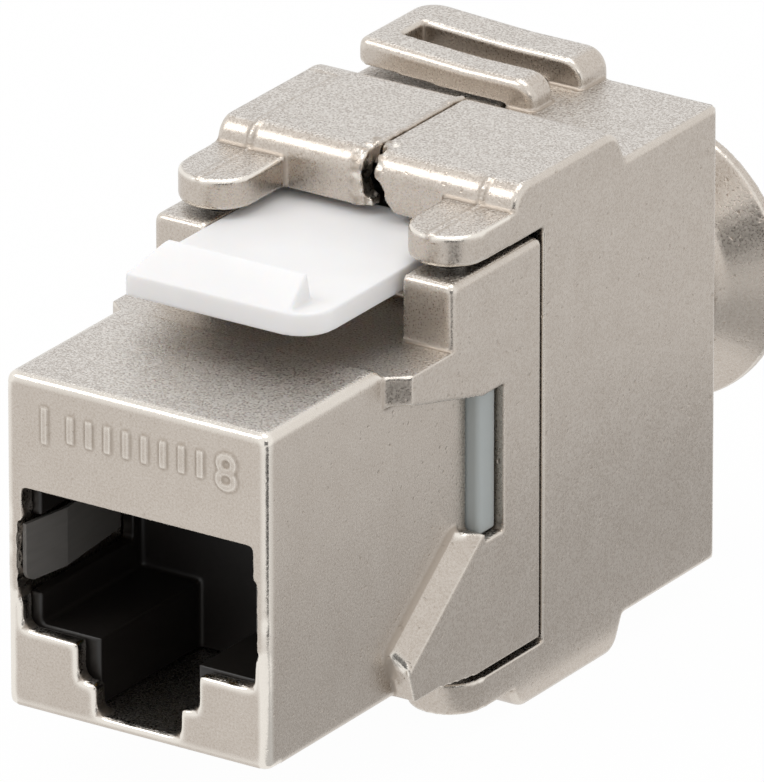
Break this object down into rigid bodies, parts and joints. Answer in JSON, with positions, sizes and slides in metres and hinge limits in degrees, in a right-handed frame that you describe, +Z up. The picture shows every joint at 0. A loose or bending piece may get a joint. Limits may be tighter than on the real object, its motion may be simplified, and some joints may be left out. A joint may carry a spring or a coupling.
{
  "type": "keystone jack",
  "caption": "Shielded modular wall jack: cast front block with a plug port, swinging rear doors that close round the cable in a split collar, and a flexible snap latch on top.",
  "frame": {"origin": "middle of the plug port, in the plane of the front face", "axes": "+Y from the front face to the cable end, +Z up towards the latch, +X to the right seen from the front"},
  "size_m": [0.0166, 0.0444, 0.0263],
  "materials": {
    "cast_nickel": "nickel-plated zinc casting, satin with a fine sand grain",
    "white_plastic": "satin white nylon",
    "black_plastic": "matt black",
    "pale_plastic": "pale grey polycarbonate",
    "board_laminate": "green circuit board",
    "gold_wire": "gold-plated bronze wire",
    "blade_bronze": "tin-plated bronze",
    "spring_steel": "stainless strip",
    "pin_steel": "plain steel dowel"
  },
  "bodies": {
    "housing": {"front_housing": "cast_nickel", "port_insert": "black_plastic", "contact_carrier": "black_plastic", "contact_1": "gold_wire", "contact_2": "gold_wire", "contact_3": "gold_wire", "contact_4": "gold_wire", "contact_5": "gold_wire", "contact_6": "gold_wire", "contact_7": "gold_wire", "contact_8": "gold_wire", "ground_spring_left": "spring_steel", "ground_spring_right": "spring_steel", "circuit_board": "board_laminate", "terminal_block": "pale_plastic", "upper_blade_1": "blade_bronze", "upper_blade_2": "blade_bronze", "upper_blade_3": "blade_bronze", "upper_blade_4": "blade_bronze", "lower_blade_1": "blade_bronze", "lower_blade_2": "blade_bronze", "lower_blade_3": "blade_bronze", "lower_blade_4": "blade_bronze", "wire_cap": "pale_plastic", "upper_pin_left": "pin_steel", "upper_pin_right": "pin_steel", "lower_pin_left": "pin_steel", "lower_pin_right": "pin_steel"},
    "left_door": {"door_left": "cast_nickel"},
    "right_door": {"door_right": "cast_nickel"},
    "latch_body": {"latch": "white_plastic"}
  },
  "joints": [
    {"name": "door_left_hinge", "type": "hinge", "parent": "housing", "child": "left_door", "pos_m": [-0.00636, 0.01643, 0], "axis": [0, 0, 1], "range_deg": [0, 100]},
    {"name": "door_right_hinge", "type": "hinge", "parent": "housing", "child": "right_door", "pos_m": [0.00636, 0.01643, 0], "axis": [0, 0, -1], "range_deg": [0, 100]},
    {"name": "latch_flex", "type": "hinge", "parent": "housing", "child": "latch_body", "pos_m": [0, 0.0196, 0.0099], "axis": [1, 0, 0], "range_deg": [0, 6.5], "stiffness_Nm_per_rad": 0.1}
  ]
}
